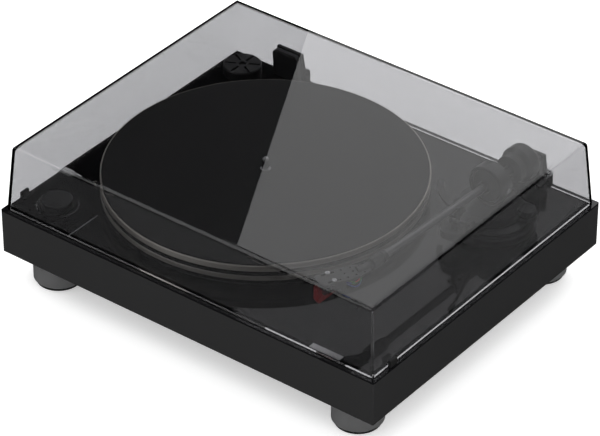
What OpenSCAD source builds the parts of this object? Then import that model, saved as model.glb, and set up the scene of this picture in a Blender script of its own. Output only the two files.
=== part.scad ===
// Turntable record player: direct-drive deck with a straight-tube gimbal tonearm and a hinged dust cover.
// Millimetres, +Z up, +X to the tonearm side, -Y to the user. The origin lies on the ground plane under
// the middle of the whole object. "Deck" places are measured from the middle of the plinth's top face.

/* [Plinth] */
// Width of the plinth
plinth_w = 430; // [424:1:450]
// Depth of the plinth
plinth_d = 348.5; // [344:0.5:360]
// Height of the plinth, underside to deck
plinth_h = 46.5; // [44:0.5:54]
// Thickness of the gloss top plate
plate_t = 2; // [1.5:0.5:3]

/* [Feet] */
// Height of a foot, screwed right in
foot_h = 31.5; // [28:0.5:36]
// Radius of a foot
foot_r = 24.1; // [22:0.1:26]
// Foot axis from the plinth's side
foot_inset_x = 40; // [38:1:46]
// Foot axis from the plinth's front and back
foot_inset_y = 32; // [30:1:40]

/* [Platter] */
// Spindle axis, left or right of the deck's middle
spindle_x = -40.8; // [-44:0.1:-38]
// Platter radius
platter_r = 153.5; // [150:0.5:154]
// Height of the platter's rim top above the deck
platter_top = 23.4; // [22:0.1:25]
// Radius of the record spindle
spindle_r = 3.55; // [3.5:0.01:3.6]

/* [Tonearm] */
// Tonearm pivot, right of the deck's middle
arm_x = 153.2; // [150:0.1:155]
// Tonearm pivot, behind the deck's middle
arm_y = 85.5; // [82:0.1:88]
// Height of the tonearm pivot above the deck
arm_z = 42; // [41:0.1:43]
// How far the parked arm points inwards
arm_park_deg = 1.6; // [1:0.1:2]
// How far the parked arm's head is raised
arm_lift_deg = 2; // [1.8:0.1:2]
// Outer radius of the arm tube
tube_r = 3.7; // [3.4:0.1:3.8]
// Offset angle of the headshell
offset_deg = 22; // [20:0.5:24]

/* [Dust cover] */
// Height of the cover above the deck
cover_h = 68.8; // [68:0.1:76]
// Thickness of the acrylic
cover_t = 3.2; // [3:0.1:3.4]
// Inward slope of the walls, millimetres per millimetre of height
cover_draft = 0.08; // [0.06:0.01:0.08]

/* [Hidden] */

$fn = 96;
eps = 0.01;
fit = 0.05;              // radial clearance of a running fit
gap = 0.3;               // clearance between bodies that only pass each other

// Plinth and its cavity
deck_z = foot_h + plinth_h;
wood_h = plinth_h - plate_t;
edge_bevel = 0.8;
cavity_w = 292;
cavity_d = 280;
web_t = 8;               // wood left between the cavity and the top plate
cavity_z = deck_z - plate_t - web_t;
cover_plate_w = 306;
cover_plate_d = 294;
cover_plate_t = 1.5;
rebate = 0.3;

// Back of the deck: the hinge knuckles reach furthest back
pin_out = 3;             // hinge pin axis behind the plinth's rear face
knuckle_r = 4.3;
rear_reach = pin_out + knuckle_r;
plinth_y = -rear_reach / 2;
rear_y = plinth_d / 2;

// Feet
foot_x = plinth_w / 2 - foot_inset_x;
foot_y = plinth_d / 2 - foot_inset_y;
stud_r = 4;
stud_h = 16;
sole_t = 3;
foot_places = [[-foot_x, -foot_y], [foot_x, -foot_y], [-foot_x, foot_y], [foot_x, foot_y]];

// Platter, bearing and motor, heights from the deck
rim_groove = 4;
mat_t = 3;
mat_r = platter_r - 1.4;
mat_recess_z = platter_top - 2.3;
mat_top = mat_recess_z + mat_t;
spindle_top = mat_top + 12;
motor_r = 60;
hub_r = 30;
hub_z = 4.3;
shaft_r = 5;             // bearing shaft below the record spindle
shaft_bottom = -31;
coil_count = 9;

// Speed knob in the front left corner, with three marks before it
knob_x = -176.8;
knob_y = -137.6;
knob_r = 15.2;
knob_top = 9;
bezel_r = 22;
mark_y = -167.3;
mark_pitch = 18.8;
knob_swing = atan(mark_pitch / (knob_y - mark_y));
switch_shaft_r = 3;

// Adapter for large-hole records
adapter_x = -184.2;
adapter_y = 145;
adapter_r = 19.1;
adapter_h = 10;
peg_h = 8;

// Rear panel
panel_x = 15;
panel_w = 105;
panel_h = 28;
panel_z = foot_h + 8;
panel_t = 2;
panel_face_y = rear_y - 5.25;
jack_z = panel_z + panel_h / 2;
rca_x = [panel_x + 14, panel_x + 32];
ground_x = panel_x + 50;
inlet_x = panel_x + 70;
rocker_x = panel_x + 91;
rocker_w = 10.4;
rocker_r = 9;

// Dust cover
side_inset = 3.8;
back_inset = 4.8;
cover_z = 0.8;
cover_w = plinth_w - 2 * side_inset;
cover_front = -plinth_d / 2 + side_inset;
cover_back = plinth_d / 2 - back_inset;
cover_edge_r = 4.5;
cover_corner_r = 2.2;
hinge_x = 142.4;
hinge_w = 29.6;
hinge_top = 31;
ear_w = 9;
pin_y = rear_y + pin_out;
pin_z = 4.8;
pin_r = 2;
bumper_y = -143.5;

// Tonearm base, heights from the deck
base_r = 41;
base_h = 8;
pillar_r = 14.3;
ring_r = 36.3;
ring_top = 13.5;
platform_z = 13.9;
platform_top = 22;
yaw_r = 5.5;
dial_place = [31.5, 11.5];
dial_r = 8.3;
dial_z = 17.7;           // underside of the anti-skate dial, in its pocket
dial_top = 23.5;         // low enough for the counterweight to pass over
lifter_arc_r = 45.4;
lifter_top = arm_z - tube_r - gap;
lever_y = -47;
lever_z = 27;
lever_rest_deg = 35;
rest_dist = 53.5;

// Tonearm, measured from its pivot with the arm pointing along -Y
gimbal_r = 19.7;
gimbal_bore = 16.6;
gimbal_half = 7.6;
hub_disc_r = 15.7;
hub_half = 6.6;
collar_start = 155.5;
collar_end = 177;
elbow = 186.3;           // where the headshell's axis meets the tube's
mount_s = 32.6;          // cartridge screws, along the headshell from the elbow
tip_s = mount_s + 9.5;   // stylus tip
tip_drop = 18.4;
slot_pitch = 12.7;
shell_z = -1.2;          // underside of the headshell's plate, from the tube's axis
shell_t = 2.4;
stub_r = 4.95;
stub_end = 52;
weight_start = 28;
weight_end = 55;
weight_r = 17.6;
dial_ring_r = 14.2;      // tracking-force dial
dial_len = 7.2;
bush_r = 8;

// ---------------------------------------------------------------- helpers

// Move to a deck place
module deck(x = 0, y = 0, z = 0) {
    translate([x, plinth_y + y, deck_z + z]) children();
}

// Move to the tonearm's base, keeping heights from the deck
module at_arm() {
    deck(arm_x, arm_y) children();
}

// Parked arm: turned inwards, not tilted
module parked() {
    at_arm() translate([0, 0, arm_z]) rotate([0, 0, -arm_park_deg]) children();
}

// Parked and raised arm
module raised() {
    parked() rotate([-arm_lift_deg, 0, 0]) children();
}

// Headshell frame: -Y runs forward from the elbow
module at_headshell() {
    raised() translate([0, -elbow, 0]) rotate([0, 0, -offset_deg]) children();
}

// Cylinder along Y, from y0 to y1
module ycyl(r, y0, y1) {
    translate([0, y0, 0]) rotate([-90, 0, 0]) cylinder(r = r, h = y1 - y0);
}

// Cylinder along X, from x0 to x1
module xcyl(r, x0, x1) {
    translate([x0, 0, 0]) rotate([0, 90, 0]) cylinder(r = r, h = x1 - x0);
}

// Turned shape whose profile is given as [radius, position along Y]
module yturn(points) {
    rotate([-90, 0, 0]) rotate_extrude() polygon(points);
}

// Profile in Y and Z, extruded along X from x0 to x1
module yz_plate(points, x0, x1) {
    translate([x0, 0, 0]) rotate([90, 0, 90]) linear_extrude(x1 - x0) polygon(points);
}

// Outline of a knurled rim
function knurl(r, depth, teeth) = [
    for (i = [0 : 2 * teeth - 1])
        let (rad = i % 2 == 0 ? r : r - depth, a = 180 * i / teeth)
            [rad * cos(a), rad * sin(a)]
];

// Box with bevelled upright edges
module bevelled_block(w, d, h, b) {
    x = w / 2;
    y = d / 2;
    linear_extrude(h) polygon([
        [-x + b, -y], [x - b, -y], [x, -y + b], [x, y - b],
        [x - b, y], [-x + b, y], [-x, y - b], [-x, -y + b]
    ]);
}

// Ring of points round a path point, square to the direction
function ring_points(p, d, r, sides) =
    let (f = d / norm(d), s0 = cross(f, [0.3, 0.2, 0.93]), s = s0 / norm(s0), u = cross(s, f))
        [for (i = [0 : sides - 1]) p + r * (cos(360 * i / sides) * s + sin(360 * i / sides) * u)];

// Tube swept along a list of points
module sweep(path, r, sides = 8) {
    n = len(path);
    points = [
        for (i = [0 : n - 1])
            let (a = path[max(i - 1, 0)], b = path[min(i + 1, n - 1)])
                each ring_points(path[i], b - a, r, sides)
    ];
    walls = [
        for (i = [0 : n - 2], j = [0 : sides - 1])
            let (k = (j + 1) % sides)
                each [
                    [i * sides + j, i * sides + k, (i + 1) * sides + k],
                    [i * sides + j, (i + 1) * sides + k, (i + 1) * sides + j]
                ]
    ];
    first = [for (j = [sides - 1 : -1 : 0]) j];
    last = [for (j = [0 : sides - 1]) (n - 1) * sides + j];
    polyhedron(points, concat(walls, [first, last]));
}

// Point on a cubic curve through four handles
function curve(p, t) =
    pow(1 - t, 3) * p[0] + 3 * pow(1 - t, 2) * t * p[1] + 3 * (1 - t) * t * t * p[2] + pow(t, 3) * p[3];

// ---------------------------------------------------------------- plinth

module plinth() {
    color("#161616") difference() {
        translate([0, plinth_y, foot_h]) bevelled_block(plinth_w, plinth_d, wood_h, edge_bevel);
        // cavity from below, and the rebate of the bottom cover
        translate([-cavity_w / 2, plinth_y - cavity_d / 2, foot_h - 1])
            cube([cavity_w, cavity_d, cavity_z - foot_h + 1]);
        translate([-cover_plate_w / 2 - rebate, plinth_y - cover_plate_d / 2 - rebate, foot_h - 1])
            cube([cover_plate_w + 2 * rebate, cover_plate_d + 2 * rebate, cover_plate_t + 1]);
        // motor opening, tonearm bore and switch pocket
        deck(spindle_x, 0, -plate_t - web_t - 1) cylinder(r = motor_r, h = web_t + 2);
        deck(arm_x, arm_y, -34) cylinder(r = 20, h = 34);
        deck(arm_x - 30, arm_y - 6, -34) cube([20, 12, 10]);
        deck(knob_x, knob_y, -25) cylinder(r = 12, h = 25);
        deck(knob_x, knob_y - 4, -25) cube([50, 8, 7]);
        // rear panel opening, stepped to hold the panel
        translate([panel_x, plinth_y + cavity_d / 2 - 5, panel_z])
            cube([panel_w, 60, panel_h]);
        // foot sockets
        for (p = foot_places)
            translate([p[0], plinth_y + p[1], foot_h - 1]) cylinder(r = stud_r + fit, h = stud_h + 1.5);
    }
}

module top_plate() {
    color("#0b0b0c") difference() {
        deck(0, 0, -plate_t) bevelled_block(plinth_w, plinth_d, plate_t, edge_bevel);
        deck(spindle_x, 0, -plate_t - 1) cylinder(r = motor_r, h = plate_t + 2);
        deck(arm_x, arm_y, -plate_t - 1) cylinder(r = 19, h = plate_t + 2);
        deck(knob_x, knob_y, -plate_t - 1) cylinder(r = 5.2, h = plate_t + 2);
        deck(adapter_x, adapter_y, -plate_t - 1) cylinder(r = 2, h = plate_t + 2);
    }
}

module bottom_cover() {
    color("#2a2a2c") difference() {
        translate([-cover_plate_w / 2, plinth_y - cover_plate_d / 2, foot_h])
            cube([cover_plate_w, cover_plate_d, cover_plate_t]);
        for (i = [0 : 9])
            translate([-100 + 12 * i, plinth_y + 60, foot_h - 1]) cube([5, 40, cover_plate_t + 2]);
        for (x = [-1, 0, 1], y = [-1, 1])
            translate([x * 148, plinth_y + y * 143, foot_h - 1]) cylinder(r = 1.6, h = cover_plate_t + 2);
    }
}

module cover_screws() {
    color("#3a3a3a") for (x = [-1, 0, 1], y = [-1, 1])
        translate([x * 148, plinth_y + y * 143, foot_h]) {
            translate([0, 0, -1.2]) cylinder(r = 2.8, h = 1.2);
            cylinder(r = 1.5, h = cover_plate_t);
        }
}

module knob_bezel() {
    color("#1a1a1a") deck(knob_x, knob_y) rotate_extrude() polygon([
        [bezel_r - 5.2, 0], [bezel_r, 0], [bezel_r, 0.8], [bezel_r - 0.9, 2],
        [bezel_r - 2.1, 2.5], [bezel_r - 3.4, 2], [bezel_r - 4.6, 1.1], [bezel_r - 5.2, 0.9]
    ]);
}

module speed_marks() {
    color("silver") for (i = [-1, 0, 1])
        deck(knob_x + i * mark_pitch, mark_y) linear_extrude(0.2) square([3.6, 2.4], center = true);
}

module deck_inlay() {
    color("silver") deck(-138.1, -167) cube([1, 41, 0.25]);
}

module blank_badge() {
    color("silver") deck(139, -165.5) difference() {
        cube([33, 6.5, 0.4]);
        translate([0.7, 0.7, 0.2]) cube([31.6, 5.1, 1]);
    }
}

module rotary_switch() {
    color("#444444") deck(knob_x, knob_y) difference() {
        union() {
            translate([0, 0, -24]) cylinder(r = 10.5, h = 14);
            translate([0, 0, -10]) cylinder(r = 5, h = 9.7);
        }
        translate([0, 0, -20]) cylinder(r = switch_shaft_r + fit, h = 30);
    }
}

module main_board() {
    board_z = foot_h + 8;
    board_x = 0;
    board_y = 42;
    // circuit board on four stands, with its heat sink, capacitors and connectors
    color("#1d5a33") translate([board_x, plinth_y + board_y, board_z]) cube([130, 82, 1.6]);
    color("#cccccc") for (x = [6, 124], y = [6, 76])
        translate([board_x + x, plinth_y + board_y + y, foot_h + cover_plate_t])
            cylinder(r = 2.5, h = board_z - foot_h - cover_plate_t);
    color("#999999") translate([board_x + 84, plinth_y + board_y + 8, board_z + 1.6]) difference() {
        cube([34, 16, 12]);
        for (i = [0 : 4])
            translate([3 + 6 * i, -1, 3]) cube([4, 18, 10]);
    }
    color("#222266") for (i = [0 : 3])
        translate([board_x + 14 + 15 * i, plinth_y + board_y + 16, board_z + 1.6]) cylinder(r = 5, h = 14);
    color("#222222") for (i = [0 : 2])
        translate([board_x + 12 + 26 * i, plinth_y + board_y + 44, board_z + 1.6]) cube([16, 16, 2.6]);
}

// ---------------------------------------------------------------- bearing, motor and platter

module bearing_housing() {
    color("#b08d4f") deck(spindle_x) difference() {
        union() {
            translate([0, 0, -plate_t - web_t - 2]) cylinder(r = motor_r + 12, h = 2);
            translate([0, 0, -37]) cylinder(r = 9, h = 35.5);
        }
        translate([0, 0, shaft_bottom - fit]) cylinder(r = shaft_r + fit, h = 60);
    }
}

module motor_stator() {
    board_z = -plate_t - web_t;
    color("#1d5a33") deck(spindle_x, 0, board_z) difference() {
        cylinder(r = motor_r - 2, h = 1.6);
        translate([0, 0, -1]) cylinder(r = 12, h = 4);
    }
    color("#b06a30") for (i = [0 : coil_count - 1])
        deck(spindle_x, 0, board_z + 1.6) rotate([0, 0, i * 360 / coil_count]) translate([40, 0, 0])
            difference() {
                cylinder(r = 11, h = 5.4);
                translate([0, 0, -1]) cylinder(r = 4.5, h = 8);
            }
}

module spindle() {
    color("silver") deck(spindle_x) {
        translate([0, 0, shaft_bottom]) cylinder(r = shaft_r, h = mat_top - 0.5 - shaft_bottom);
        translate([0, 0, mat_top - 0.5]) cylinder(r = spindle_r, h = spindle_top - spindle_r - mat_top + 0.5);
        translate([0, 0, spindle_top - spindle_r]) rotate_extrude() intersection() {
            circle(r = spindle_r);
            square([spindle_r, spindle_r]);
        }
    }
}

module rotor_magnet() {
    // ring magnet and its steel yoke
    color("#333333") deck(spindle_x, 0, -1.5) difference() {
        cylinder(r = 52, h = 3.6);
        translate([0, 0, -1]) cylinder(r = 28, h = 6);
    }
    color("silver") deck(spindle_x, 0, 2.1) difference() {
        cylinder(r = 54, h = hub_z - 2.1);
        translate([0, 0, -1]) cylinder(r = shaft_r + 1, h = 6);
    }
}

module platter() {
    r = platter_r;
    g = platter_r - rim_groove;
    color("#6f6c66") deck(spindle_x) rotate_extrude($fn = 180) polygon([
        [shaft_r, hub_z], [hub_r, hub_z], [hub_r, 14.5], [r - 12, 14.5], [r - 12, 3],
        [r - 1.6, 3], [r - 0.4, 4.2], [r - 0.4, 12.2], [r - 0.9, 12.7], [g, 12.9],
        [g, 17], [r - 0.5, 17.2], [r, 17.7], [r, platter_top - 0.7], [r - 0.7, platter_top],
        [mat_r + 0.3, platter_top], [mat_r + 0.3, mat_recess_z], [shaft_r, mat_recess_z]
    ]);
}

module platter_mat() {
    color("#131313") deck(spindle_x) rotate_extrude($fn = 180) polygon([
        [shaft_r + 0.3, mat_recess_z], [mat_r, mat_recess_z], [mat_r, mat_top - 0.6], [mat_r - 0.6, mat_top],
        [shaft_r + 0.3, mat_top]
    ]);
}

// ---------------------------------------------------------------- rear panel

module rear_panel() {
    color("#202022") difference() {
        union() {
            translate([panel_x, plinth_y + panel_face_y - panel_t, panel_z]) cube([panel_w, panel_t, panel_h]);
            // cheeks that carry the rocker's pivot
            for (side = [-1, 1])
                translate([rocker_x + side * (rocker_w / 2 + 1.6) - 1, plinth_y + panel_face_y - 9, jack_z - 5])
                    cube([2, 9 - panel_t, 10]);
        }
        translate([rocker_x - rocker_w / 2 - 0.4, plinth_y + panel_face_y - 5, jack_z - rocker_r - 0.5])
            cube([rocker_w + 0.8, 10, 2 * rocker_r + 1]);
        translate([rocker_x, plinth_y + panel_face_y - 5, jack_z]) xcyl(1.2 + fit, -10, 10);
        for (x = rca_x)
            translate([x, plinth_y + panel_face_y, jack_z]) ycyl(4, -5, 1);
        translate([ground_x, plinth_y + panel_face_y, jack_z]) ycyl(2, -5, 1);
        translate([inlet_x, plinth_y + panel_face_y, jack_z]) ycyl(4.6, -5, 1);
    }
}

module rca_sockets() {
    color("gold") for (x = rca_x)
        translate([x, plinth_y + panel_face_y, jack_z]) difference() {
            union() {
                ycyl(6, 0, 1.2);
                ycyl(4.15, 1.2, 9.5);
                ycyl(4, -9, 0);
            }
            ycyl(1.65, -2, 12);
        }
}

module ground_post() {
    color("silver") translate([ground_x, plinth_y + panel_face_y, jack_z]) {
        ycyl(2, -6, 10.5);
        ycyl(4.5, 0, 0.8);
    }
}

module ground_nut() {
    color("gold") translate([ground_x, plinth_y + panel_face_y, jack_z]) difference() {
        translate([0, 3.2, 0]) rotate([-90, 0, 0]) linear_extrude(6) polygon(knurl(5, 0.4, 20));
        ycyl(2 + fit, 0, 12);
    }
}

module power_inlet() {
    // barrel socket with its centre pin
    color("#111111") translate([inlet_x, plinth_y + panel_face_y, jack_z]) {
        difference() {
            union() {
                ycyl(5.6, 0, 1.5);
                ycyl(4.6, -11, 0);
            }
            ycyl(2.75, -9, 3);
        }
        ycyl(1, -9.5, -0.5);
    }
}

module power_rocker() {
    // lens-shaped rocker, so it clears its frame at every angle
    color("#0c0c0c") translate([rocker_x, plinth_y + panel_face_y - 5, jack_z]) {
        intersection() {
            xcyl(rocker_r, -rocker_w / 2, rocker_w / 2);
            yz_plate([
                [-3, -3], [1.5, -rocker_r], [8, -rocker_r], [7.2, 0], [5.2, rocker_r], [1.5, rocker_r], [-3, 3]
            ], -rocker_w / 2, rocker_w / 2);
        }
        xcyl(1.2, -rocker_w / 2 - 2.4, rocker_w / 2 + 2.4);
    }
}

// ---------------------------------------------------------------- knob, adapter, feet

module speed_knob() {
    color("#1c1c1c") deck(knob_x, knob_y) difference() {
        union() {
            rotate_extrude() polygon([
                [0, 0.9], [knob_r - 0.4, 0.9], [knob_r, 1.3], [knob_r - 0.2, knob_top - 0.9],
                [knob_r - 1.1, knob_top], [0, knob_top]
            ]);
            translate([0, 0, -17]) cylinder(r = switch_shaft_r, h = 18.5);
        }
        // pointer dimple, aimed at the first mark
        rotate([0, 0, -90 - knob_swing]) translate([knob_r - 2.9, 0, knob_top - 0.4]) cylinder(r = 0.9, h = 1);
    }
}

module adapter_peg() {
    color("silver") deck(adapter_x, adapter_y) {
        translate([0, 0, -plate_t]) cylinder(r = 2, h = plate_t + 0.1);
        cylinder(r = spindle_r, h = peg_h);
    }
}

module adapter_45() {
    color("#26262a") deck(adapter_x, adapter_y, 0.2) difference() {
        rotate_extrude() polygon([
            [spindle_r + fit, 0], [adapter_r, 0], [adapter_r, adapter_h - 1], [adapter_r - 1, adapter_h],
            [spindle_r + 1, adapter_h], [spindle_r + fit, adapter_h - 0.8]
        ]);
        // six radial slots
        for (i = [0 : 5])
            rotate([0, 0, 30 + 60 * i]) {
                translate([7.2, -1.2, adapter_h - 3]) cube([9.4, 2.4, 4]);
                for (x = [7.2, 16.6])
                    translate([x, 0, adapter_h - 3]) cylinder(r = 1.2, h = 4);
            }
    }
}

// Metal shell of a foot with its threaded stud
module foot(p) {
    color("#8c8c8e") translate([p[0], plinth_y + p[1], 0]) {
        rotate_extrude() polygon([
            [0, sole_t], [foot_r - 1.2, sole_t], [foot_r, sole_t + 1.2], [foot_r, foot_h - 1.3],
            [foot_r - 1, foot_h - gap], [0, foot_h - gap]
        ]);
        translate([0, 0, foot_h - 1]) cylinder(r = stud_r, h = stud_h);
    }
}

// Rubber sole of a foot
module sole(p) {
    color("#101010") translate([p[0], plinth_y + p[1], 0]) cylinder(r = foot_r - 2.4, h = sole_t);
}

module foot_front_left() { foot(foot_places[0]); }
module foot_front_right() { foot(foot_places[1]); }
module foot_rear_left() { foot(foot_places[2]); }
module foot_rear_right() { foot(foot_places[3]); }
module sole_front_left() { sole(foot_places[0]); }
module sole_front_right() { sole(foot_places[1]); }
module sole_rear_left() { sole(foot_places[2]); }
module sole_rear_right() { sole(foot_places[3]); }

// ---------------------------------------------------------------- dust cover and hinges

// Thin slab of the cover's outline: shrunk by t all round, at height z
module cover_slab(z, t) {
    inset = cover_draft * (z - cover_z) + t;
    r = max(cover_corner_r - t, 0.4);
    x = cover_w / 2 - inset - r;
    y0 = cover_front + inset + r;
    y1 = cover_back - inset - r;
    for (px = [-x, x], py = [y0, y1])
        translate([px, py, z]) cylinder(r = r, h = eps, $fn = 24);
}

// Solid tub with a rounded top edge
module cover_form(t, top) {
    steps = 5;
    edge = cover_edge_r - t / 2;
    hull() {
        cover_slab(cover_z - (t > 0 ? 1 : 0), t);
        for (i = [0 : steps]) {
            a = 90 * i / steps;
            cover_slab(top - edge + edge * sin(a) - eps, t + edge * (1 - cos(a)));
        }
    }
}

module dust_cover() {
    color([0.35, 0.36, 0.38, 0.4]) deck() difference() {
        cover_form(0, cover_h);
        cover_form(cover_t, cover_h - cover_t);
    }
}

// Outer and inner face of the cover's back wall at a height
function wall_out(z) = cover_back - cover_draft * (z - cover_z);
function wall_in(z) = wall_out(z) - cover_t;

module hinge_leaves() {
    knuckle_w = hinge_w - 2 * ear_w - 1;
    color("#101010") for (side = [-1, 1])
        deck(side * hinge_x) {
            // leaf on the back wall
            yz_plate([
                [wall_out(10) + fit, 10], [wall_out(10) + 5.4, 10],
                [wall_out(hinge_top) + 3.4, hinge_top], [wall_out(hinge_top) + fit, hinge_top]
            ], -hinge_w / 2, hinge_w / 2);
            // gusset and knuckle
            difference() {
                union() {
                    yz_plate([
                        [wall_out(10) + 1, 8], [pin_y - 1, pin_z], [pin_y + 3.6, pin_z + 2.3],
                        [wall_out(26) + 2, 26], [wall_out(10) + 1, 22]
                    ], -knuckle_w / 2, knuckle_w / 2);
                    translate([0, pin_y, pin_z]) xcyl(knuckle_r, -knuckle_w / 2, knuckle_w / 2);
                }
                translate([0, pin_y, pin_z]) xcyl(pin_r + fit, -hinge_w, hinge_w);
            }
        }
}

module hinge_clamps() {
    round_r = 4.5;
    top = hinge_top - 0.3;
    color("#101010") for (side = [-1, 1])
        deck(side * hinge_x) intersection() {
            yz_plate([
                [wall_in(1.2) - fit, 1.2], [wall_in(hinge_top) - fit, hinge_top],
                [wall_in(hinge_top) - 4.2, hinge_top], [wall_in(hinge_top) - 5.6, hinge_top - 2.2],
                [wall_in(1.2) - 6.4, 1.2]
            ], -hinge_w, hinge_w);
            // face with its two upper corners rounded
            translate([0, cover_back + 10, 0]) rotate([90, 0, 0]) linear_extrude(40) hull() {
                for (x = [round_r - hinge_w / 2, hinge_w / 2 - round_r])
                    translate([x, top - round_r]) circle(r = round_r);
                translate([-hinge_w / 2, 0]) square([hinge_w, 4]);
            }
        }
}

module hinge_brackets() {
    color("#151515") for (side = [-1, 1])
        deck(side * hinge_x) difference() {
            union() {
                for (x = [-hinge_w / 2, hinge_w / 2 - ear_w]) {
                    translate([x, rear_y + fit, -16]) cube([ear_w, rear_reach - fit, 16 + pin_z]);
                    translate([0, pin_y, pin_z]) xcyl(knuckle_r, x, x + ear_w);
                }
                translate([-hinge_w / 2, rear_y + fit, -16]) cube([hinge_w, rear_reach - fit, 15.8]);
            }
            translate([0, pin_y, pin_z]) xcyl(pin_r, -hinge_w, hinge_w);
        }
}

module hinge_pins() {
    color("silver") for (side = [-1, 1])
        deck(side * hinge_x, pin_y, pin_z) xcyl(pin_r, -hinge_w / 2 - 0.4, hinge_w / 2 + 0.4);
}

module cover_bumpers() {
    outer = plinth_w / 2 - 0.8;
    wall = cover_w / 2 + fit;
    color("#0d0d0d") for (side = [0, 1])
        deck() mirror([side, 0, 0]) translate([0, bumper_y + 4.75, 0]) rotate([90, 0, 0])
            linear_extrude(9.5) polygon([
                [wall - 4, 0.1], [outer, 0.1], [outer, 7], [outer - 0.6, 7.6],
                [wall, 7.6], [wall, cover_z - fit], [wall - 4, cover_z - fit]
            ]);
}

// ---------------------------------------------------------------- tonearm base

module arm_base() {
    color("#141414") at_arm() difference() {
        union() {
            rotate_extrude() polygon([
                [0, 0], [base_r, 0], [base_r, base_h - 1.2], [base_r - 1.2, base_h], [0, base_h]
            ]);
            translate([0, 0, -30]) cylinder(r = 19, h = 30.5);
        }
        translate([0, 0, -31]) cylinder(r = pillar_r + fit, h = 60);
    }
}

module height_ring() {
    color("#1b1b1b") at_arm() rotate_extrude() polygon([
        [pillar_r + gap, base_h + gap], [ring_r - 0.8, base_h + gap], [ring_r, base_h + 1.1],
        [ring_r, ring_top - 2.2], [ring_r - 5.7, ring_top], [pillar_r + gap, ring_top]
    ]);
}

// Bracket of the lever's pivot, beside the lifter
module lever_bracket() {
    translate([6.2, lever_y - 4, platform_top - 1]) cube([2.6, 8, lever_z + 4.4 - platform_top]);
}

module arm_platform() {
    thick = platform_top - platform_z;
    reach = norm(dial_place);
    step = 0.4;              // tongue and wing stand this much inside the round part's faces
    inner = 20;              // where they leave the round part
    wing_h = dial_z - platform_z - step;
    color("#181818") at_arm() difference() {
        union() {
            translate([0, 0, -24]) cylinder(r = pillar_r, h = 25 + platform_z);
            translate([0, 0, platform_z]) cylinder(r = 29, h = thick);
            // front tongue, under the lifter and the arm rest
            rotate([0, 0, -3]) {
                translate([-12.2, -rest_dist, platform_z + step]) cube([24.4, rest_dist - inner, thick - 2 * step]);
                translate([0, -rest_dist, platform_z + step]) cylinder(r = 12.4, h = thick - 2 * step);
            }
            // wing under the anti-skate dial
            rotate([0, 0, atan2(dial_place[1], dial_place[0])]) {
                translate([inner, -10, platform_z + step]) cube([reach - inner, 20, wing_h]);
                translate([reach, 0, platform_z + step]) cylinder(r = 10.2, h = wing_h);
            }
            translate(lifter_place()) translate([0, 0, platform_top - 1]) cylinder(r = 4.4, h = 9.4);
            lever_bracket();
        }
        translate([0, 0, -9]) cylinder(r = yaw_r + fit, h = 60);
        // dial's shaft bore and pocket
        translate([dial_place[0], dial_place[1], platform_z + 1]) cylinder(r = 2 + fit, h = thick);
        translate([dial_place[0], dial_place[1], dial_z - gap]) cylinder(r = dial_r + 0.6, h = thick);
        translate(lifter_place()) translate([0, 0, platform_z + 0.4]) cylinder(r = 2.6 + fit, h = 40);
        translate([0, lever_y, lever_z]) xcyl(1.5 + fit, 5, 12);
    }
}

// Foot of the lifter's post
function lifter_place() = [lifter_arc_r * cos(262), lifter_arc_r * sin(262), 0];

module lifter() {
    bar_t = 3;
    color("#101010") at_arm() {
        translate(lifter_place()) translate([0, 0, platform_z + 4.7])
            cylinder(r = 2.6, h = lifter_top - bar_t + 1 - platform_z - 4.7);
        // curved bar that the tube comes down on, wherever the arm has swung to
        translate([0, 0, lifter_top - bar_t]) rotate([0, 0, 203]) rotate_extrude(angle = 70)
            translate([lifter_arc_r - 2.9, 0]) square([5.8, bar_t]);
    }
}

module arm_rest() {
    saddle_top = arm_z - tube_r - gap;
    wall_x = tube_r + 0.7;
    color("#141414") at_arm() rotate([0, 0, -arm_park_deg]) translate([0, -rest_dist - 1.5, 0]) {
        translate([1.2, 0, platform_top]) cylinder(r = 3.4, h = saddle_top - 3 - platform_top);
        // saddle, open on the platter side
        translate([0, 3, 0]) rotate([90, 0, 0]) linear_extrude(6) polygon([
            [-5.6, saddle_top - 3.2], [5.8, saddle_top - 3.2], [wall_x + 2.6, saddle_top - 1],
            [wall_x + 2.6, saddle_top + 7], [wall_x + 1.6, saddle_top + 8.4], [wall_x, saddle_top + 8.4],
            [wall_x, saddle_top + 1.4], [wall_x - 1.4, saddle_top], [-5.6, saddle_top - 0.6]
        ]);
    }
}

module anti_skate_dial() {
    color("#222222") at_arm() translate([dial_place[0], dial_place[1], 0]) {
        difference() {
            translate([0, 0, dial_z]) linear_extrude(dial_top - dial_z) polygon(knurl(dial_r, 0.35, 36));
            translate([0, 0, dial_top - 0.5]) cylinder(r = dial_r - 1.3, h = 1);
        }
        translate([0, 0, platform_z + 1.5]) cylinder(r = 2, h = dial_z - platform_z - 1);
    }
}

module cue_lever() {
    color("#b9b9bb") at_arm() translate([0, lever_y, lever_z]) {
        xcyl(1.5, 5.6, 11);
        xcyl(3.6, 9.3, 13.4);
        rotate([-lever_rest_deg, 0, 0]) translate([11.65, 0, 0]) {
            ycyl(1.3, -33, -2);
            yturn([[0, -40], [1.4, -40], [2.4, -39], [2.4, -32], [1.6, -31], [0, -31]]);
        }
    }
}

// ---------------------------------------------------------------- tonearm

module gimbal_ring() {
    color("#1d1d1f") parked() difference() {
        union() {
            yturn([
                [gimbal_bore, -gimbal_half], [gimbal_r - 0.8, -gimbal_half], [gimbal_r, -gimbal_half + 0.8],
                [gimbal_r, gimbal_half - 0.8], [gimbal_r - 0.8, gimbal_half], [gimbal_bore, gimbal_half]
            ]);
            // foot of the ring and its upright bearing shaft
            translate([0, 0, platform_top + 0.4 - arm_z]) cylinder(r = 7.4, h = 3.2);
            translate([0, 0, -8.5 - arm_z]) cylinder(r = yaw_r, h = 8.5 + platform_top + 1);
        }
        xcyl(2.6, -30, 30);
    }
}

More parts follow.
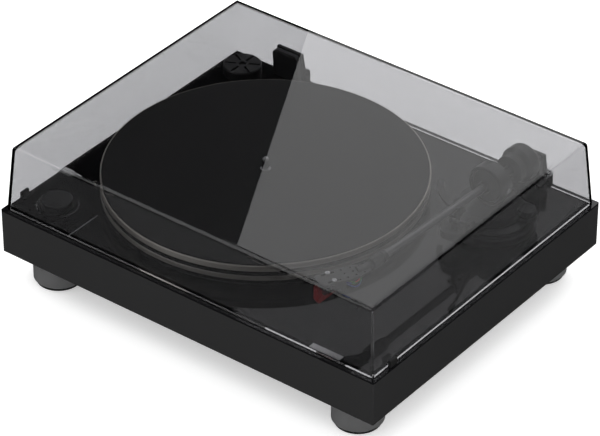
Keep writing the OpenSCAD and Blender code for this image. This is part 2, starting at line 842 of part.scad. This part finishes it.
module pivot_screws() {
    color("silver") parked() for (side = [0, 1])
        mirror([side, 0, 0]) difference() {
            union() {
                xcyl(1.2, 12.5, 18);
                xcyl(2.6, 16.8, 20.8);
            }
            translate([20.2, -3, -0.35]) cube([2, 6, 0.7]);
        }
}

module arm_hub() {
    color("#17171a") raised() difference() {
        yturn([
            [0, -14], [5.2, -14], [5.8, -13.4], [6.2, -9.6], [hub_disc_r - 1.2, -hub_half - 0.9],
            [hub_disc_r, -hub_half], [hub_disc_r, hub_half], [8.5, hub_half + 1.5], [stub_r, 12],
            [stub_r, stub_end - 1], [stub_r - 1, stub_end], [0, stub_end]
        ]);
        ycyl(tube_r, -15, -4);
        xcyl(1.2 + fit, 12, 20);
        xcyl(1.2 + fit, -20, -12);
    }
}

module arm_tube() {
    color("#8f9093") raised() difference() {
        ycyl(tube_r, -collar_end, -4);
        ycyl(tube_r - 0.5, -collar_end - 1, -6);
    }
}

module locking_collar() {
    r = 6.2;
    color("#a0a0a4") raised() difference() {
        yturn([
            [tube_r + fit, -collar_end], [r - 0.6, -collar_end], [r, -collar_end + 0.6], [r, -collar_end + 12],
            [r - 0.8, -collar_end + 12.8], [r - 0.8, -collar_end + 14], [r, -collar_end + 14.8],
            [r, -collar_start - 2], [r - 1.4, -collar_start], [tube_r + fit, -collar_start]
        ]);
        // finger flutes
        for (i = [0 : 11])
            rotate([0, 30 * i, 0]) translate([r + 0.5, 0, 0]) ycyl(0.9, -collar_end + 1, -collar_end + 11.5);
    }
}

module headshell() {
    front = tip_s + 3.8;
    half = 9.5;
    neck = 5.75;
    cut_z = shell_z - 1;
    cut_h = shell_t + 2;
    color("#77787b") {
        // neck inside the collar, and the elbow
        raised() ycyl(4, -elbow, -collar_end - 0.1);
        raised() ycyl(tube_r - 0.5, -collar_end - 1, -collar_end + 9);
        at_headshell() difference() {
            union() {
                sphere(r = 4, $fn = 48);
                ycyl(4, -7, 0);
                translate([0, 0, shell_z]) linear_extrude(shell_t) polygon([
                    [1 - neck, 5.7], [neck - 1, 5.7], [neck, 4.7], [half, -8], [half, 3 - front],
                    [half - 3, -front], [3 - half, -front], [-half, 3 - front], [-half, -8], [-neck, 4.7]
                ]);
                // finger lift
                translate([half - 0.2, 7.5 - front, shell_z + 10.5]) rotate([90, 0, 0]) linear_extrude(4.5)
                    difference() {
                        intersection() {
                            circle(r = 9.5);
                            polygon([[0, 0], [0, -20], [20, -20], [20, -9]]);
                        }
                        circle(r = 8.5);
                    }
            }
            // screw slots
            for (x = [-slot_pitch / 2, slot_pitch / 2]) {
                for (y = [-5.5, 5.5])
                    translate([x, -mount_s + y, cut_z]) cylinder(r = 1.35, h = cut_h);
                translate([x - 1.35, -mount_s - 5.5, cut_z]) cube([2.7, 11, cut_h]);
            }
            // nine lightening holes, closing in towards the neck
            for (i = [0 : 2], side = [-1, 0, 1])
                translate([side * (5.4 + 0.4 * i), -1.9 - 8.6 * i, cut_z]) cylinder(r = 1.25, h = cut_h);
        }
    }
}

module cartridge() {
    color("#1a1a1c") at_headshell() difference() {
        union() {
            yz_plate([
                [-22, shell_z], [-43, shell_z], [-43, -7.6], [-26, -7.6], [-24, -11], [-22, -11]
            ], -8, 8);
            translate([-slot_pitch / 2 - 2.6, -mount_s - 3, shell_z - 2.4]) cube([slot_pitch + 5.2, 6, 2]);
        }
        for (x = [-slot_pitch / 2, slot_pitch / 2])
            translate([x, -mount_s, -20]) cylinder(r = 1.25, h = 22);
    }
    // terminal pins
    color("gold") at_headshell() for (x = [-2.6, 2.6], z = [-4.5, -8.5])
        translate([x, 0, z]) ycyl(0.6, -22, -18.5);
}

module cartridge_screws() {
    color("silver") at_headshell() for (x = [-slot_pitch / 2, slot_pitch / 2])
        translate([x, -mount_s, 0]) difference() {
            union() {
                translate([0, 0, shell_z + shell_t]) cylinder(r = 2.3, h = 1.5);
                translate([0, 0, -5.2]) cylinder(r = 1.25, h = 5.3 + shell_z + shell_t);
            }
            translate([-3, -0.3, shell_z + shell_t + 1]) cube([6, 0.6, 1]);
        }
}

module headshell_wires() {
    colours = ["#e8e8e8", "#c33b2f", "#3a7f4a", "#35589f"];
    at_headshell() for (i = [0 : 3]) {
        x = i % 2 == 0 ? -2.6 : 2.6;
        z = i < 2 ? -4.5 : -8.5;
        out = 6 + 1.6 * i;
        handles = [[x, -18, z], [x + out, -13, z - 1], [out, -8, -6 - i], [-1.8 + 1.2 * i, -2.5, -3.2]];
        color(colours[i]) sweep([for (t = [0 : 0.1 : 1.001]) curve(handles, t)], 0.5);
    }
}

module stylus_unit() {
    front = tip_s + 4.2;
    // wedge under the cartridge, with its upright nose before it
    color("#b3262b") at_headshell() yz_plate([
        [-26, -7.6 - fit], [-43 - fit, -7.6 - fit], [-43 - fit, -4.6], [-front, -4.6], [-front, -17.4],
        [-front + 2, -18], [-front + 3.4, -16.5], [-26, -9]
    ], -4.4, 4.4);
    // cantilever with its diamond
    color("silver") at_headshell() translate([0, -33, -12]) rotate([121.6, 0, 0])
        cylinder(r = 0.35, h = 10.7);
    color("silver") at_headshell() translate([0, -tip_s, -tip_drop])
        cylinder(r1 = 0.12, r2 = 0.4, h = 1.3, $fn = 16);
}

module weight_bush() {
    color("#b08d4f") raised() difference() {
        ycyl(bush_r, weight_start + 0.5, weight_end - 2);
        ycyl(stub_r + fit, 0, 80);
    }
}

module counterweight() {
    start = weight_start + dial_len + gap;
    color("#1f1f21") raised() difference() {
        yturn([
            [bush_r + fit, start], [dial_ring_r - 0.5, start], [dial_ring_r, start + 0.5],
            [dial_ring_r, start + 1], [weight_r - 0.6, start + 4.2], [weight_r, start + 5],
            [weight_r, weight_end - 4], [weight_r - 0.6, weight_end - 2.6],
            [dial_ring_r + 0.4, weight_end], [bush_r + fit, weight_end]
        ]);
    }
}

module tracking_dial() {
    color("#2a2a2c") raised() difference() {
        translate([0, weight_start, 0]) rotate([-90, 0, 0]) linear_extrude(dial_len)
            polygon(knurl(dial_ring_r, 0.35, 48));
        ycyl(bush_r + fit, weight_start - 1, weight_start + dial_len + 1);
    }
}

// ---------------------------------------------------------------- nodes

plinth();
top_plate();
bottom_cover();
cover_screws();
knob_bezel();
speed_marks();
deck_inlay();
blank_badge();
rotary_switch();
main_board();
motor_stator();
bearing_housing();
rear_panel();
rca_sockets();
ground_post();
power_inlet();
hinge_brackets();
hinge_pins();
arm_base();
adapter_peg();
platter();
platter_mat();
spindle();
rotor_magnet();
dust_cover();
hinge_leaves();
hinge_clamps();
cover_bumpers();
speed_knob();
power_rocker();
ground_nut();
adapter_45();
foot_front_left();
foot_front_right();
foot_rear_left();
foot_rear_right();
sole_front_left();
sole_front_right();
sole_rear_left();
sole_rear_right();
height_ring();
arm_platform();
arm_rest();
anti_skate_dial();
cue_lever();
lifter();
gimbal_ring();
pivot_screws();
arm_hub();
arm_tube();
headshell();
cartridge();
cartridge_screws();
headshell_wires();
stylus_unit();
locking_collar();
weight_bush();
counterweight();
tracking_dial();
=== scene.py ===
import math

import bpy
import bmesh
from mathutils import Matrix, Vector


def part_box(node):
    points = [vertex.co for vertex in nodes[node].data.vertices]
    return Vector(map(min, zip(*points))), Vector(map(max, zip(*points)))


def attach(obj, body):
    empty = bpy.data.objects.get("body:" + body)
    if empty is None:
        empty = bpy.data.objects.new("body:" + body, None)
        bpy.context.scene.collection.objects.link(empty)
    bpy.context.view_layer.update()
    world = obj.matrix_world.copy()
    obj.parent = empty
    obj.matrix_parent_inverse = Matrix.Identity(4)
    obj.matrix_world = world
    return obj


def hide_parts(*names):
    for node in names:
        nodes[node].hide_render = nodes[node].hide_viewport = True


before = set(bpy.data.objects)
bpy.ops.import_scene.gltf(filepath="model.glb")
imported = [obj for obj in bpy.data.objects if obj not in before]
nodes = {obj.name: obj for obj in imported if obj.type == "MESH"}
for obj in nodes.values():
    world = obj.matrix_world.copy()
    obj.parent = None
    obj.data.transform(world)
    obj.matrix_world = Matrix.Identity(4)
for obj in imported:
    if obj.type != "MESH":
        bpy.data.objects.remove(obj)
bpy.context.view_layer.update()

MM = 0.001

# Light levels
FLOOR_GLOW = 0.4
WORLD_DIRECT = 1.0
WORLD_GLOSSY = 0.012
CARD_RADIANCE = 1.18
KEY_POWER = 12

# Places of the lamps: the card's edge in millimetres from the middle of the deck, the rest in metres
CARD_EDGE = (-24.4, -11.0)
CARD_LEAN = 18.7         # degrees
CARD_DISTANCE = 3.0
CARD_SIZE = (4, 5)
KEY_OFFSET = (-1.6, -1.2, 2.4)
KEY_SIZE = (1.6, 1.6)

# Plain floor, just under the soles, in metres
FLOOR_SIZE = 12
FLOOR_DROP = 0.0005

# Heights that the painted shade bands cover, in metres
BAND_FROM = 0.07
BAND_SPAN = 0.04

# Stretches of the platter's rim painted black as shade, in the groove and at the rim's foot by the deck, in
# millimetres above the deck
RIM_PAINTED_SHADE = ((0.0, 7.5), (12.4, 17.3))
PAINTED_SHADE_BLACK = (0.012, 0.012, 0.012)

# The CAD's marks, sockets and coils, in millimetres
MARK_WIDTH = 3.6
SOCKET_LENGTH = 8.3      # a socket's barrel, beyond its flange
COIL_BASE = 1.7          # faces higher than this over the stator's underside belong to the coils

# The added pieces, in millimetres
NUMBER_HEIGHT = 2.9
NUMBER_THICKNESS = 0.12
RING_INNER_RADIUS = 4.3
RING_MARGIN = 0.5
RING_THICKNESS = 0.5


# ---------------------------------------------------------------- frame and camera


plinth_low, plinth_high = (Vector(c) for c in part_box("plinth"))
deck_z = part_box("top_plate")[1][2]
plinth_mid = (plinth_low + plinth_high) / 2


def deck(x=0.0, y=0.0, z=0.0):
    """A point given in millimetres from the middle of the deck."""
    return Vector((plinth_mid.x + x * MM, plinth_mid.y + y * MM, deck_z + z * MM))


CAMERA_AZIMUTH = 37.83
CAMERA_ELEVATION = 34.82
CAMERA_DISTANCE = 3.2722
CAMERA_LENS = 213.3
CAMERA_TARGET = (10.9, -14.7, -1.05)     # millimetres from the middle of the deck


def direction(azimuth, elevation):
    """Unit vector from the object towards an azimuth, counted from the front to the right."""
    a = math.radians(azimuth)
    e = math.radians(elevation)
    return Vector((math.sin(a) * math.cos(e), -math.cos(a) * math.cos(e), math.sin(e)))


def look(obj, target):
    """Turn an object's -Z towards a target."""
    obj.rotation_euler = (target - obj.location).to_track_quat("-Z", "Y").to_euler()


camera_data = bpy.data.cameras.new("camera")
camera_data.lens = CAMERA_LENS
camera_data.sensor_width = 36
camera_data.clip_end = 50
camera = bpy.data.objects.new("camera", camera_data)
camera_target = deck(*CAMERA_TARGET)
camera.location = camera_target + direction(CAMERA_AZIMUTH, CAMERA_ELEVATION) * CAMERA_DISTANCE
look(camera, camera_target)
bpy.context.collection.objects.link(camera)
bpy.context.scene.camera = camera


# ---------------------------------------------------------------- materials

def material(name, colour, metallic=0.0, roughness=0.5, specular=0.5):
    """A principled material with constant values."""
    m = bpy.data.materials.new(name)
    m.use_nodes = True
    shader = m.node_tree.nodes["Principled BSDF"]
    shader.inputs["Base Color"].default_value = (*colour, 1)
    shader.inputs["Metallic"].default_value = metallic
    shader.inputs["Roughness"].default_value = roughness
    shader.inputs["Specular IOR Level"].default_value = specular
    return m


def shader_of(m):
    """A material's principled shader."""
    return m.node_tree.nodes["Principled BSDF"]


def add_node(m, kind, **values):
    """A new shader node with the given input values."""
    n = m.node_tree.nodes.new(kind)
    for key, value in values.items():
        n.inputs[key].default_value = value
    return n


def grain(m, scale, depth, stretch=(1, 1, 1)):
    """Fine surface relief, stretched along an axis for brushed metal."""
    links = m.node_tree.links
    coords = add_node(m, "ShaderNodeTexCoord")
    mapping = add_node(m, "ShaderNodeMapping", Scale=stretch)
    noise = add_node(m, "ShaderNodeTexNoise", Scale=scale, Detail=4.0)
    bump = add_node(m, "ShaderNodeBump", Strength=0.35, Distance=depth)
    links.new(coords.outputs["Object"], mapping.inputs["Vector"])
    links.new(mapping.outputs["Vector"], noise.inputs["Vector"])
    links.new(noise.outputs["Fac"], bump.inputs["Height"])
    links.new(bump.outputs["Normal"], shader_of(m).inputs["Normal"])
    return m


def paint_shade_bands(m, bands, colour):
    """A second colour between pairs of heights: painted shade in the groove and at the foot of a turned rim.
    """
    links = m.node_tree.links
    coords = add_node(m, "ShaderNodeTexCoord")
    split = add_node(m, "ShaderNodeSeparateXYZ")
    links.new(coords.outputs["Object"], split.inputs["Vector"])
    ramp = add_node(m, "ShaderNodeValToRGB")
    ramp.color_ramp.interpolation = "CONSTANT"
    own = tuple(shader_of(m).inputs["Base Color"].default_value)
    stops = [(0.0, own)]
    for low, high in bands:
        stops += [((low - BAND_FROM) / BAND_SPAN, (*colour, 1)), ((high - BAND_FROM) / BAND_SPAN, own)]
    elements = ramp.color_ramp.elements
    elements[0].position, elements[0].color = stops[0]
    elements[1].position, elements[1].color = stops[-1]
    for position, value in stops[1:-1]:
        elements.new(position).color = value
    level = add_node(m, "ShaderNodeMapRange")
    level.inputs["From Min"].default_value = BAND_FROM
    level.inputs["From Max"].default_value = BAND_FROM + BAND_SPAN
    links.new(split.outputs["Z"], level.inputs["Value"])
    links.new(level.outputs["Result"], ramp.inputs["Fac"])
    links.new(ramp.outputs["Color"], shader_of(m).inputs["Base Color"])
    return m


def smoked_acrylic():
    """Smoked clear acrylic that refracts what is behind it and lets the lamps light what it covers."""
    m = material("smoked_acrylic", (0.575, 0.575, 0.585), roughness=0.0)
    shader = shader_of(m)
    shader.inputs["Transmission Weight"].default_value = 1
    shader.inputs["IOR"].default_value = 1.36
    links = m.node_tree.links
    output = m.node_tree.nodes["Material Output"]
    clear = add_node(m, "ShaderNodeBsdfTransparent", Color=(0.9, 0.9, 0.91, 1))
    path = add_node(m, "ShaderNodeLightPath")
    mix = add_node(m, "ShaderNodeMixShader")
    links.new(path.outputs["Is Shadow Ray"], mix.inputs["Fac"])
    links.new(shader.outputs["BSDF"], mix.inputs[1])
    links.new(clear.outputs["BSDF"], mix.inputs[2])
    links.new(mix.outputs["Shader"], output.inputs["Surface"])
    return m


satin_black = grain(material("satin_black", (0.022, 0.022, 0.0225), roughness=0.4), 1800, 0.00002)
gloss_black = material("gloss_black", (0.004, 0.004, 0.0045), roughness=0.03)
plate_black = material("plate_black", (0.03, 0.03, 0.032), roughness=0.45)
plastic_black = material("plastic_black", (0.014, 0.014, 0.015), roughness=0.36)
metal_black = material("metal_black", (0.016, 0.016, 0.017), roughness=0.3)
rubber = grain(material("rubber", (0.012, 0.012, 0.012), roughness=0.62), 900, 0.00006)
mat_rubber = material("mat_rubber", (0.009, 0.009, 0.009), roughness=0.6, specular=0.25)
steel = material("steel", (0.62, 0.62, 0.63), metallic=1, roughness=0.25)
silver = material("silver", (0.75, 0.75, 0.76), metallic=1, roughness=0.3)
rim_metal = material("rim_metal", (0.5, 0.475, 0.43), metallic=0.75, roughness=0.4)
copper = material("copper", (0.55, 0.24, 0.1), metallic=1, roughness=0.35)
wire_white = material("wire_white", (0.75, 0.75, 0.72), roughness=0.4)
wire_red = material("wire_red", (0.5, 0.03, 0.02), roughness=0.4)
wire_green = material("wire_green", (0.03, 0.25, 0.07), roughness=0.4)
wire_blue = material("wire_blue", (0.03, 0.08, 0.35), roughness=0.4)
arm_metal = material("arm_metal", (0.16, 0.16, 0.165), metallic=0.85, roughness=0.33)
head_metal = material("head_metal", (0.05, 0.05, 0.052), metallic=0.6, roughness=0.4)
foot_metal = grain(
    material("foot_metal", (0.86, 0.86, 0.87), metallic=0.9, roughness=0.33), 300, 0.00003, (1, 1, 30)
)
brass = material("brass", (0.75, 0.55, 0.24), metallic=1, roughness=0.3)
gold = material("gold", (0.9, 0.66, 0.28), metallic=1, roughness=0.2)
board_green = material("board_green", (0.03, 0.16, 0.07), roughness=0.4)
magnet_grey = material("magnet_grey", (0.06, 0.06, 0.062), roughness=0.55)
ring_white = material("ring_white", (0.8, 0.8, 0.8), roughness=0.4)
ring_red = material("ring_red", (0.6, 0.02, 0.02), roughness=0.4)
stylus_red = material("stylus_red", (0.2, 0.012, 0.014), roughness=0.35)
acrylic = smoked_acrylic()

# Painted shade: the platter rim's groove and its foot by the deck are coloured black by height
painted_shade_heights = [(deck_z + low * MM, deck_z + high * MM) for low, high in RIM_PAINTED_SHADE]
paint_shade_bands(rim_metal, painted_shade_heights, PAINTED_SHADE_BLACK)

NODE_MATERIALS = {
    "plinth": satin_black, "top_plate": gloss_black, "bottom_cover": plate_black, "cover_screws": steel,
    "knob_bezel": gloss_black, "speed_marks": silver, "deck_inlay": silver, "blank_badge": silver,
    "rotary_switch": plastic_black, "main_board": board_green, "motor_stator": board_green,
    "bearing_housing": brass, "rear_panel": plate_black, "rca_sockets": gold, "ground_post": steel,
    "power_inlet": plastic_black, "hinge_brackets": metal_black, "hinge_pins": steel, "arm_base": metal_black,
    "adapter_peg": metal_black, "platter": rim_metal, "platter_mat": mat_rubber, "spindle": steel,
    "rotor_magnet": magnet_grey, "dust_cover": acrylic, "hinge_leaves": metal_black,
    "hinge_clamps": plastic_black, "cover_bumpers": rubber, "speed_knob": metal_black,
    "power_rocker": plastic_black, "ground_nut": gold, "adapter_45": plastic_black,
    "height_ring": metal_black, "arm_platform": metal_black, "arm_rest": plastic_black,
    "anti_skate_dial": plastic_black, "cue_lever": plastic_black, "lifter": plastic_black,
    "gimbal_ring": metal_black, "pivot_screws": steel, "arm_hub": metal_black, "arm_tube": arm_metal,
    "headshell": head_metal, "cartridge": plastic_black, "cartridge_screws": steel,
    "stylus_unit": stylus_red, "locking_collar": head_metal, "weight_bush": metal_black,
    "counterweight": metal_black, "tracking_dial": metal_black,
}
for corner in ("front_left", "front_right", "rear_left", "rear_right"):
    NODE_MATERIALS["foot_" + corner] = foot_metal
    NODE_MATERIALS["sole_" + corner] = rubber

for name, m in NODE_MATERIALS.items():
    for slot in nodes[name].material_slots:
        slot.material = m


# ---------------------------------------------------------------- added pieces

def mesh_piece(name, parts, m, body):
    """One object from (vertices, faces) parts, riding a body."""
    mesh = bpy.data.meshes.new(name)
    vertices = []
    faces = []
    for part_vertices, part_faces in parts:
        start = len(vertices)
        vertices += [tuple(v) for v in part_vertices]
        faces += [[start + i for i in face] for face in part_faces]
    mesh.from_pydata(vertices, [], faces)
    mesh.validate()
    build = bmesh.new()
    build.from_mesh(mesh)
    bmesh.ops.recalc_face_normals(build, faces=build.faces)
    build.to_mesh(mesh)
    build.free()
    for polygon in mesh.polygons:
        polygon.use_smooth = False
    mesh.materials.append(m)
    obj = bpy.data.objects.new(name, mesh)
    bpy.context.collection.objects.link(obj)
    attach(obj, body)
    return obj


def slab(outline, z0, z1):
    """Closed slab over a flat outline given as (x, y) in metres."""
    n = len(outline)
    vertices = [(x, y, z0) for x, y in outline] + [(x, y, z1) for x, y in outline]
    faces = [list(range(n))[::-1], list(range(n, 2 * n))]
    faces += [[i, (i + 1) % n, n + (i + 1) % n, n + i] for i in range(n)]
    return vertices, faces


def ring(centre, axis, r_in, r_out, thick, steps=40):
    """Closed flat ring round an axis, from centre along the axis by thick."""
    axis = Vector(axis).normalized()
    side = axis.orthogonal().normalized()
    up = axis.cross(side)
    vertices = []
    for i in range(steps):
        a = math.tau * i / steps
        out = side * math.cos(a) + up * math.sin(a)
        for r, t in ((r_in, 0), (r_out, 0), (r_out, thick), (r_in, thick)):
            vertices.append(centre + out * r + axis * t)
    faces = []
    for i in range(steps):
        j = (i + 1) % steps
        for k in range(4):
            m = (k + 1) % 4
            faces.append([4 * i + k, 4 * i + m, 4 * j + m, 4 * j + k])
    return vertices, faces


# Seven-bar digits: each bar is (x0, y0, x1, y1) on a grid of DIGIT_WIDTH by DIGIT_HEIGHT
DIGIT_WIDTH = 10
DIGIT_HEIGHT = 18
DIGIT_PITCH = 14
BARS = {
    "a": (0, 16, 10, 18), "b": (8, 9, 10, 18), "c": (8, 0, 10, 9), "d": (0, 0, 10, 2),
    "e": (0, 0, 2, 9), "f": (0, 9, 2, 18), "g": (0, 8, 10, 10),
}
DIGITS = {"3": "abcdg", "4": "bcfg", "5": "acdfg", "7": "abc", "8": "abcdefg"}


def number(text, x, y, height, z0, z1):
    """Slabs of a number centred at deck place (x, y), in millimetres."""
    unit = height / DIGIT_HEIGHT
    width = (DIGIT_PITCH * (len(text) - 1) + DIGIT_WIDTH) * unit
    parts = []
    for i, digit in enumerate(text):
        left = x - width / 2 + DIGIT_PITCH * unit * i
        for bar in DIGITS[digit]:
            x0, y0, x1, y1 = BARS[bar]
            corners = ((x0, y0), (x1, y0), (x1, y1), (x0, y1))
            outline = []
            for cx, cy in corners:
                p = deck(left + cx * unit, y - height / 2 + cy * unit)
                outline.append((p.x, p.y))
            parts.append(slab(outline, deck_z + z0 * MM, deck_z + z1 * MM))
    return parts


def speed_numbers():
    """The knob's three positions, marked with the usual speeds."""
    low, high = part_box("speed_marks")
    y = ((low[1] + high[1]) / 2 - plinth_mid.y) / MM
    x = ((low[0] + high[0]) / 2 - plinth_mid.x) / MM
    pitch = ((high[0] - low[0]) / MM - MARK_WIDTH) / 2
    parts = []
    for i, text in enumerate(("33", "45", "78")):
        parts += number(text, x + (i - 1) * pitch, y, NUMBER_HEIGHT, 0.0, NUMBER_THICKNESS)
    obj = mesh_piece("speed_numbers", parts, silver, "base")
    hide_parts("speed_marks")


def socket_rings():
    """Coloured rings round the two phono sockets."""
    low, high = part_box("rca_sockets")
    radius = (high[2] - low[2]) / 2
    face_y = high[1] - SOCKET_LENGTH * MM
    for name, x, m in (("white", low[0] + radius, ring_white), ("red", high[0] - radius, ring_red)):
        centre = Vector((x, face_y, (low[2] + high[2]) / 2))
        outer = radius - RING_MARGIN * MM
        parts = [ring(centre, (0, 1, 0), RING_INNER_RADIUS * MM, outer, RING_THICKNESS * MM)]
        mesh_piece("socket_ring_" + name, parts, m, "base")


def paint_faces(node, rule):
    """Give each face of a node the material that rule(index, centre) names; None keeps the node's own."""
    mesh = nodes[node].data
    for polygon in mesh.polygons:
        m = rule(polygon.index, polygon.center)
        if m is None:
            continue
        if m.name not in mesh.materials:
            mesh.materials.append(m)
        polygon.material_index = mesh.materials.find(m.name)


speed_numbers()
socket_rings()

# Four colours over four equal runs of the mesh's faces
wire_materials = (wire_white, wire_red, wire_green, wire_blue)
run_length = len(nodes["headshell_wires"].data.polygons) / len(wire_materials)
paint_faces("headshell_wires", lambda i, centre: wire_materials[int(i / run_length)])

coil_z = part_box("motor_stator")[0][2] + COIL_BASE * MM
paint_faces("motor_stator", lambda i, centre: copper if centre.z > coil_z else None)


# ---------------------------------------------------------------- stage and light

def floor_piece():
    """Plain pale floor."""
    bpy.ops.mesh.primitive_plane_add(size=FLOOR_SIZE, location=(0, 0, -FLOOR_DROP))
    floor = bpy.context.object
    floor.name = "floor"
    white = material("floor_white", (0.92, 0.92, 0.92), roughness=0.9, specular=0.1)
    shader_of(white).inputs["Emission Color"].default_value = (1, 1, 1, 1)
    shader_of(white).inputs["Emission Strength"].default_value = FLOOR_GLOW
    floor.data.materials.append(white)
    floor.visible_glossy = False


def area_light(name, place, target, size, power):
    """Soft rectangular lamp that the camera doesn't see."""
    data = bpy.data.lights.new(name, "AREA")
    data.shape = "RECTANGLE"
    data.size = size[0]
    data.size_y = size[1]
    data.energy = power
    obj = bpy.data.objects.new(name, data)
    obj.location = place
    look(obj, target)
    obj.visible_camera = False
    bpy.context.collection.objects.link(obj)


def studio_world():
    """White seen straight on or through the cover, dim for reflections, soft for fill light."""
    world = bpy.data.worlds.new("world")
    world.use_nodes = True
    tree = world.node_tree
    links = tree.links
    background = tree.nodes["Background"]
    background.inputs["Color"].default_value = (1, 1, 1, 1)
    path = tree.nodes.new("ShaderNodeLightPath")
    level = background.inputs["Strength"]
    glossy = tree.nodes.new("ShaderNodeMath")
    glossy.operation = "MINIMUM"
    glossy.inputs[1].default_value = 1
    links.new(path.outputs["Glossy Depth"], glossy.inputs[0])
    mix = tree.nodes.new("ShaderNodeMapRange")
    mix.inputs["To Min"].default_value = WORLD_DIRECT
    mix.inputs["To Max"].default_value = WORLD_GLOSSY
    links.new(glossy.outputs["Value"], mix.inputs["Value"])
    links.new(mix.outputs["Result"], level)
    bpy.context.scene.world = world


def reflected_card(edge_point, lean, distance, size, radiance):
    """Lamp that the cover's top mirrors to the camera, from a line through edge_point to the right of it."""
    view = (edge_point - camera.location).normalized()
    ray = Vector((view.x, view.y, -view.z))
    right = ray.cross(Vector((0, 0, 1))).normalized()
    up = right.cross(ray)
    a = math.radians(lean)
    along = up * math.cos(a) - right * math.sin(a)
    across = right * math.cos(a) + up * math.sin(a)
    centre = edge_point + ray * distance + across * (size[0] / 2)
    data = bpy.data.lights.new("card", "AREA")
    data.shape = "RECTANGLE"
    data.size = size[0]
    data.size_y = size[1]
    data.energy = math.pi * size[0] * size[1] * radiance
    obj = bpy.data.objects.new("card", data)
    # a lamp shines along its -Z, which has to point back against the ray
    if across.cross(along).dot(ray) < 0:
        across = -across
    turn = Matrix((across, along, across.cross(along))).transposed().to_4x4()
    obj.matrix_world = Matrix.Translation(centre) @ turn
    obj.visible_camera = False
    bpy.context.collection.objects.link(obj)


floor_piece()
studio_world()
bpy.context.scene.view_settings.view_transform = "Standard"

middle = deck()
cover_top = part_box("dust_cover")[1][2]
card_edge = deck(*CARD_EDGE, (cover_top - deck_z) / MM)
reflected_card(card_edge, CARD_LEAN, CARD_DISTANCE, CARD_SIZE, CARD_RADIANCE)
area_light("key", middle + Vector(KEY_OFFSET), middle, KEY_SIZE, KEY_POWER)
